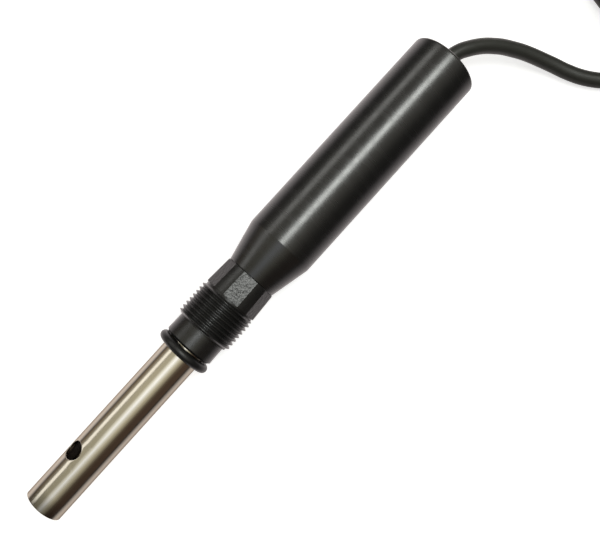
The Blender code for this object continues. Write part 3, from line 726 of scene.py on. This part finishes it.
def wrench_r(station, angle):
    """The radius of the wrench section: a slight cone with six flats cut into it."""
    round_r = WRENCH_R - WRENCH_TAPER * (station - WRENCH_AT) / (FITTING_END_AT - WRENCH_AT)
    off_flat = (angle - FLAT_TURN + 30.0) % 60.0 - 30.0
    return min(round_r, math.cos(math.radians(FLAT_HALF)) * round_r / math.cos(math.radians(off_flat)))


def swivel_fitting():
    """The moulded fitting: seal collar, thread, neck and wrench section, with grain on its flats."""
    bore = TUBE_R + 0.09
    root = THREAD_R - THREAD_DEPTH
    offsets = [-FLAT_HALF + 2 * FLAT_HALF * i / 12 for i in range(13)]
    offsets += [FLAT_HALF + (60.0 - 2 * FLAT_HALF) * i / 8 for i in range(1, 8)]
    angles = [60.0 * flat + offset for flat in range(6) for offset in offsets] + [360.0 - FLAT_HALF]
    work = bmesh.new()
    rows = []
    for from_flat in angles:
        angle = from_flat + FLAT_TURN
        outline = [(COLLAR_AT, bore + 0.15)] + corner(COLLAR_AT + 0.3, 7.7, 0.3, 180, 100, 4)
        outline += corner(COLLAR_AT + 0.75, 8.4, 0.17, 120, 60, 4) + [(COLLAR_END_AT - 0.2, COLLAR_R)]
        outline += thread_outline(from_flat)
        outline += [(THREAD_END_AT + 0.1, root + 0.05), (WRENCH_AT, root + 0.05)]
        wide, narrow = wrench_r(WRENCH_AT, angle), wrench_r(FITTING_END_AT, angle)
        outline += [(WRENCH_AT, wide - 0.1), (WRENCH_AT + 0.1, wide), (FITTING_END_AT - 0.12, narrow)]
        outline += [(FITTING_END_AT, narrow - 0.12), (FITTING_END_AT, SPIGOT_R + 0.4)]
        outline += [(SPIGOT_AT - 0.3, SPIGOT_R + 0.4), (SPIGOT_AT - 0.3, bore)]
        outline += groove(REAR_SEAL_GROOVE, bore, SEAL_GROOVE_R)
        outline += groove((SNAP_AT + SNAP_HALF, SNAP_AT - SNAP_HALF), bore, SNAP_GROOVE_R)
        outline += groove(FRONT_SEAL_GROOVE, bore, SEAL_GROOVE_R) + [(COLLAR_AT + 0.15, bore)]
        rows.append([work.verts.new(round_axis(x, r, math.radians(angle))) for x, r in outline])
    skin(work, rows, wrap_rows=False)
    obj = mesh_piece("swivel_fitting", work, 13.0)
    for edge in obj.data.edges:
        station = obj.data.vertices[edge.vertices[0]].co.x / MM - TIP_X
        if COLLAR_END_AT + 0.1 < station < THREAD_END_AT - 0.1:
            edge.use_edge_sharp = False
    obj.data.materials.append(FINISHES["fitting_plastic"])
    obj.data.materials.append(FINISHES["wrench_flats"])
    for face in obj.data.polygons:
        station = face.center.x / MM - TIP_X
        up = Vector((0.0, face.center.y, face.center.z - AXIS_Z * MM))
        turn = math.degrees(math.atan2(up.y, up.z)) - FLAT_TURN
        on_flat = abs((turn + 30.0) % 60.0 - 30.0) < FLAT_HALF
        outside = up.length > 8.3 * MM
        face.material_index = int(on_flat and outside and WRENCH_AT + 0.1 < station < FITTING_END_AT - 0.12)
    finished(obj, "fitting_plastic", "fitting", "threaded_fitting")


def port_seal_ring():
    """The O-ring that seals the fitting in its port. It sits a little askew on the tube, and its top leans
    towards the tip."""
    steps, sides = 160, 32
    work = bmesh.new()
    rows = []
    for step in range(steps):
        angle = 2 * math.pi * step / steps
        middle = O_RING_AT + O_RING_SKEW * math.sin(angle) - O_RING_LEAN * max(0.0, math.cos(angle)) ** 2
        row = []
        for side in range(sides):
            way = 2 * math.pi * side / sides
            out = O_RING_R + O_RING_SECTION_R * math.sin(way)
            row.append(work.verts.new(round_axis(middle + O_RING_SECTION_R * math.cos(way), out, angle)))
        rows.append(row)
    skin(work, rows)
    finished(mesh_piece("port_seal_ring", work, 60.0), "seal_rubber", "port_seal", "port_o_ring")


def handle_shell():
    """The turned handle: tool marks run round its cone, and its edges are slightly broken."""
    nose_bore = TUBE_R + 0.2
    nose_at = FITTING_END_AT + 0.08
    fillet, broken, mark_depth = 1.0, 0.12, 0.010
    outline = [(SPIGOT_AT, nose_bore), (SPIGOT_AT, SPIGOT_R), (nose_at, SPIGOT_R)]
    outline += [(nose_at, NOSE_R - broken), (nose_at + broken, NOSE_R)]
    marks = 46
    for i in range(1, 2 * marks):
        share = i / (2 * marks)
        station = nose_at + broken + (CONE_END_AT - nose_at - broken) * share
        cut = mark_depth if i % 2 else 0.0
        outline.append((station, NOSE_R + (HANDLE_R - NOSE_R) * share - cut))
    outline += [(CONE_END_AT, HANDLE_R)]
    body = HANDLE_END_AT - fillet - CONE_END_AT
    outline += [(CONE_END_AT + body * i / 12, HANDLE_R) for i in range(1, 12)]
    outline += corner(HANDLE_END_AT - fillet, HANDLE_R - fillet, fillet, 90, 0, 10)
    outline += [(HANDLE_END_AT, CAP_SEAT_R + 0.15), (HANDLE_END_AT - 0.15, CAP_SEAT_R)]
    outline += [(CAP_SEAT_AT, CAP_SEAT_R), (CAP_SEAT_AT, CAVITY_R), (CAVITY_AT, CAVITY_R)]
    outline += [(CAVITY_AT, TUBE_THREAD_R + 0.2)]
    outline += [(TUBE_SHOULDER_AT + 0.3, TUBE_THREAD_R + 0.2), (TUBE_SHOULDER_AT + 0.3, nose_bore)]
    outline += groove(NOSE_SEAL_GROOVE, nose_bore, NOSE_GROOVE_R)
    finished(turned("handle_shell", outline, 160, 11.0), "handle_plastic", "probe", "handle_body")


def rear_end():
    """The cap in the handle's rear, and the ribbed grommet that the cable comes out of."""
    cap = [(CAP_SEAT_AT + 0.3, CAP_BORE_R), (CAP_SEAT_AT + 0.3, CAP_R - 0.2), (CAP_SEAT_AT + 0.5, CAP_R)]
    cap += groove(CAP_GROOVE, CAP_R, CAP_GROOVE_R)
    cap += corner(CAP_FACE_AT - 0.3, CAP_R - 0.3, 0.3, 90, 0, 5) + [(CAP_FACE_AT, CAP_BORE_R)]
    finished(turned("rear_cover", cap, 128), "handle_plastic", "probe", "rear_cap")
    flange_at = CAP_SEAT_AT - 1.9
    bore = CABLE_R + 0.03
    grommet = [(flange_at, bore), (flange_at, FLANGE_R), (CAP_SEAT_AT - 0.1, FLANGE_R)]
    grommet += [(CAP_SEAT_AT - 0.1, GROMMET_NECK_R), (CAP_FACE_AT + 0.3, GROMMET_NECK_R)]
    grommet += corner(CAP_FACE_AT + 0.55, 4.95, 0.25, 180, 90, 4)
    grommet += corner(CAP_FACE_AT + 0.75, 4.95, 0.25, 90, 40, 3)
    grommet += corner(GROMMET_END_AT - 0.45, 3.75, 0.45, 60, 0, 5) + [(GROMMET_END_AT, bore)]
    finished(turned("grommet", grommet, 96), "seal_rubber", "probe", "cable_grommet")


# The cable.


def smooth_line(knots, steps=16):
    """Points along a Catmull-Rom curve through the knots."""
    knots = [2 * knots[0] - knots[1], *knots, 2 * knots[-1] - knots[-2]]
    points = []
    for before, here, there, after in zip(knots, knots[1:], knots[2:], knots[3:]):
        for i in range(steps):
            t = i / steps
            bend = 2 * before - 5 * here + 4 * there - after
            twist = 3 * here - before - 3 * there + after
            points.append(0.5 * (2 * here + (there - before) * t + bend * t**2 + twist * t**3))
    return points + [knots[-2]]


def hank_point(run, lane_r, height):
    """A point of the hank's oval, this far along its middle lane from the start of the -Y straight side."""
    arc = math.pi * LANE_R[1]
    right, left = HANK_START_AT + HANK_STRAIGHT, HANK_START_AT
    if run < HANK_STRAIGHT:
        return at(left + run, HANK_Y - lane_r, height)
    if run < HANK_STRAIGHT + arc:
        turn = (run - HANK_STRAIGHT) / LANE_R[1] - math.pi / 2
        return at(right + lane_r * math.cos(turn), HANK_Y + lane_r * math.sin(turn), height)
    if run < 2 * HANK_STRAIGHT + arc:
        return at(right - (run - HANK_STRAIGHT - arc), HANK_Y + lane_r, height)
    turn = (run - 2 * HANK_STRAIGHT - arc) / LANE_R[1] + math.pi / 2
    return at(left + lane_r * math.cos(turn), HANK_Y + lane_r * math.sin(turn), height)


def eased(share):
    """A share from 0 to 1, slowed at both ends."""
    share = min(1.0, max(0.0, share))
    return share * share * (3 - 2 * share)


def hank_turns():
    """Twelve turns in four layers of three lanes. A turn changes its lane, or climbs a layer, over a short
    stretch. Turns higher in the hank change first, so that none crosses the one it follows."""
    places = []
    for layer in range(4):
        lanes = (2, 1, 0) if layer % 2 == 0 else (0, 1, 2)
        places += [(lane, layer) for lane in lanes]
    whole = 2 * HANK_STRAIGHT + 2 * math.pi * LANE_R[1]
    # How long a change takes, how much sooner each higher one starts, and the points in one turn.
    window, lag, steps = 45.0, 12.0, 60
    bottom = HANK_BOTTOM + CABLE_R
    lane_pitch = LANE_R[1] - LANE_R[0]
    points = []
    phase = 0
    for number, (place, following) in enumerate(zip(places, places[1:])):
        climbs = following[1] > place[1]
        if number and (climbs or places[number][1] > places[number - 1][1]):
            phase += 1
        start = whole - window - lag * phase
        for i in range(steps):
            run = whole * i / steps
            moved = eased((run - start) / window)
            lane = place[0] + (following[0] - place[0]) * moved
            layer = place[1] + (following[1] - place[1]) * moved
            points.append(hank_point(run, LANE_R[0] + lane_pitch * lane, bottom + LAYER_PITCH * layer))
    # The tail swings in over the hank by its rear bend, then lies along its middle lane.
    crest = HANK_STRAIGHT + math.pi / 2 * LANE_R[1]
    climb, climb_steps, tail_steps = 48.0, 22, 15
    for i in range(climb_steps):
        run = crest * i / climb_steps
        swing = math.pi / 2 * eased((run - crest + climb) / climb)
        lane_r = LANE_R[1] + lane_pitch * math.cos(swing)
        height = bottom + 3 * LAYER_PITCH + (TAIL_HEIGHT - bottom - 3 * LAYER_PITCH) * math.sin(swing)
        points.append(hank_point(run, lane_r, height))
    end = HANK_STRAIGHT + math.pi * LANE_R[1] + HANK_START_AT + HANK_STRAIGHT - TAIL_END_AT
    for i in range(tail_steps + 1):
        points.append(hank_point(crest + (end - crest) * i / tail_steps, LANE_R[1], TAIL_HEIGHT))
    return points


def tube_curve(name, points, radius, sides=6):
    """A round curve object through points in the frame."""
    line = bpy.data.curves.new(name, "CURVE")
    line.dimensions = "3D"
    line.bevel_depth = radius * MM
    line.bevel_resolution = sides
    line.use_fill_caps = True
    spline = line.splines.new("POLY")
    spline.points.add(len(points) - 1)
    for knot, point in zip(spline.points, points):
        knot.co = (*point, 1.0)
    spline.use_smooth = True
    obj = bpy.data.objects.new(name, line)
    bpy.context.scene.collection.objects.link(obj)
    return obj


def strap(name, node, y, bump):
    """A tie round one side of the hank, with rounded corners. bump is the height of the tail under it."""
    low, size = size_of(node)
    half_width, height = size.y / 2, size.z - bump
    thick, round_r, tail_r = 0.6, 1.6, 2.3
    work = bmesh.new()

    def loop(grow, x):
        out = half_width - thick + grow
        bottom, top = thick - grow, height - thick + grow
        r = round_r - thick + grow
        path = []
        for cy, cz, first in ((out - r, bottom + r, -90), (out - r, top - r, 0)):
            path += [(cy + r * math.cos(a), cz + r * math.sin(a)) for a in arc_angles(first, first + 90, 6)]
        if bump:
            rise = bump - thick + grow + 0.2
            path += [(3.4 + grow, top), (2.7 + grow, top + 0.45 * rise)]
            for a in arc_angles(30, 150, 8):
                path.append(((tail_r + grow) * math.cos(a), top + rise - tail_r + tail_r * math.sin(a)))
            path += [(-2.7 - grow, top + 0.45 * rise), (-3.4 - grow, top)]
        for cy, cz, first in ((r - out, top - r, 90), (r - out, bottom + r, 180)):
            path += [(cy + r * math.cos(a), cz + r * math.sin(a)) for a in arc_angles(first, first + 90, 6)]
        return [work.verts.new(at(x, y + a, b)) for a, b in path]

    start = low.x - TIP_X
    end = start + size.x
    edge = 0.15
    rows = [loop(0.0, start + edge), loop(0.0, end - edge), loop(edge, end), loop(thick - edge, end)]
    rows += [loop(thick, end - edge), loop(thick, start + edge), loop(thick - edge, start), loop(edge, start)]
    skin(work, rows)
    return finished(mesh_piece(name, work, 35.0), "tie_strap", "probe", node)


# The cores' colours at the cable's end, and where each leaves the sleeve, in degrees.
CORES = (("red", 162), ("black", 234), ("white", 90), ("green", 306), ("blue", 18))
# A ferrule's outline from its collar to its pin's end: the run along it, and the radius.
FERRULE = ((0.0, 0.66), (0.0, 0.95), (0.3, 1.0), (1.6, 0.9), (2.2, 0.52), (8.0, 0.48), (8.3, 0.3), (8.3, 0.0))


def cable_end():
    """The heat-shrink sleeve on the cable's end, and five cores with crimped ferrules."""
    y, height = SLEEVE_LOW.y + SLEEVE_SIZE.y / 2, SLEEVE_LOW.z + SLEEVE_SIZE.z / 2
    start = SLEEVE_LOW.x - TIP_X
    end = start + SLEEVE_SIZE.x
    outline = [(start, 0.0)] + corner(start + 0.5, 1.7, 0.5, 180, 90, 5)
    outline += corner(start + 2.4, 2.2, 0.6, 110, 90, 3)
    outline += corner(end - 0.4, 2.4, 0.4, 90, 0, 5) + [(end, 0.0)]
    pieces = [turned("end_sleeve", outline, 48, 40.0, (y, height))]
    finished(pieces[0], "heat_shrink", "probe", "cable_end_sleeve")
    for i, (colour, leaving) in enumerate(CORES):
        spread = i - 2
        turn = math.radians(leaving)
        out, up = 1.45 * math.cos(turn), 1.45 * math.sin(turn)
        low, size = size_of(f"end_ferrule_{colour}")
        drop = low.z + size.z / 2
        core_end = start - 26.0
        knots = [at(start, y + out, height + up), at(start - 3.0, y + 1.15 * out, height + up)]
        knots += [at(start - 12.0, y + 2.2 * spread, drop + 0.4), at(core_end, y + 3.0 * spread, drop)]
        core = tube_curve(f"core_{colour}", smooth_line(knots), 0.65, 3)
        finished(core, f"wire_{colour}", "probe", f"end_core_{colour}")
        heading = Vector((-1.0, 0.06 * spread, 0.0)).normalized()
        first = Vector((core_end, y + 3.0 * spread, drop))
        pin = bmesh.new()
        rows = []
        for run, r in FERRULE:
            across = heading.cross(Vector((0.0, 0.0, 1.0)))
            row = []
            for a in arc_angles(0, 345, 24):
                spot = first + heading * run + (across * math.cos(a) + Vector((0, 0, 1)) * math.sin(a)) * r
                row.append(pin.verts.new(at(*spot)))
            rows.append(row)
        skin(pin, rows, wrap_rows=False)
        ferrule = mesh_piece(f"ferrule_{colour}", pin, 35.0)
        finished(ferrule, "tinned_copper", "probe", f"end_ferrule_{colour}")
        pieces += [core, ferrule]
    return pieces


def cable():
    """One cable from the grommet, along the table and round the hank, to its sleeved end."""
    run_out = [at(CABLE_START_AT, 0.0, AXIS_Z)] + [Vector(point) for point in CABLE_ROUTE]
    points = smooth_line(run_out, 6)[:-1] + hank_turns()
    jacket = tube_curve("sensor_cable", points, CABLE_R, 5)
    finished(jacket, "cable_jacket", "probe", "cable", "cable_hank", "cable_tail")
    on_it = [strap("front_tie", "hank_tie_front", HANK_Y - LANE_R[1], 0.0)]
    tail_bump = size_of("hank_tie_rear")[1].z - size_of("hank_tie_front")[1].z
    on_it.append(strap("rear_tie", "hank_tie_rear", HANK_Y + LANE_R[1], tail_bump))
    on_it += cable_end()


def inner_nodes():
    """The pieces that keep their CAD shape get the finish of their own slot."""
    slots = {part["node"]: part["material_slot"] for part in frame["record"]["subparts"]}
    for name, obj in frame["nodes"].items():
        if obj.hide_render:
            continue
        obj.data.materials.clear()
        obj.data.materials.append(FINISHES[slots[name]])


bpy.context.scene.view_settings.view_transform = "Standard"
FINISHES = finishes()
for obj in [o for o in bpy.data.objects if o.name in ("Cube", "Light", "Camera")]:
    bpy.data.objects.remove(obj)
camera()
floor()
lights()
world()
cable()
steel_tube()
centre_rod()
swivel_fitting()
port_seal_ring()
handle_shell()
rear_end()
inner_nodes()
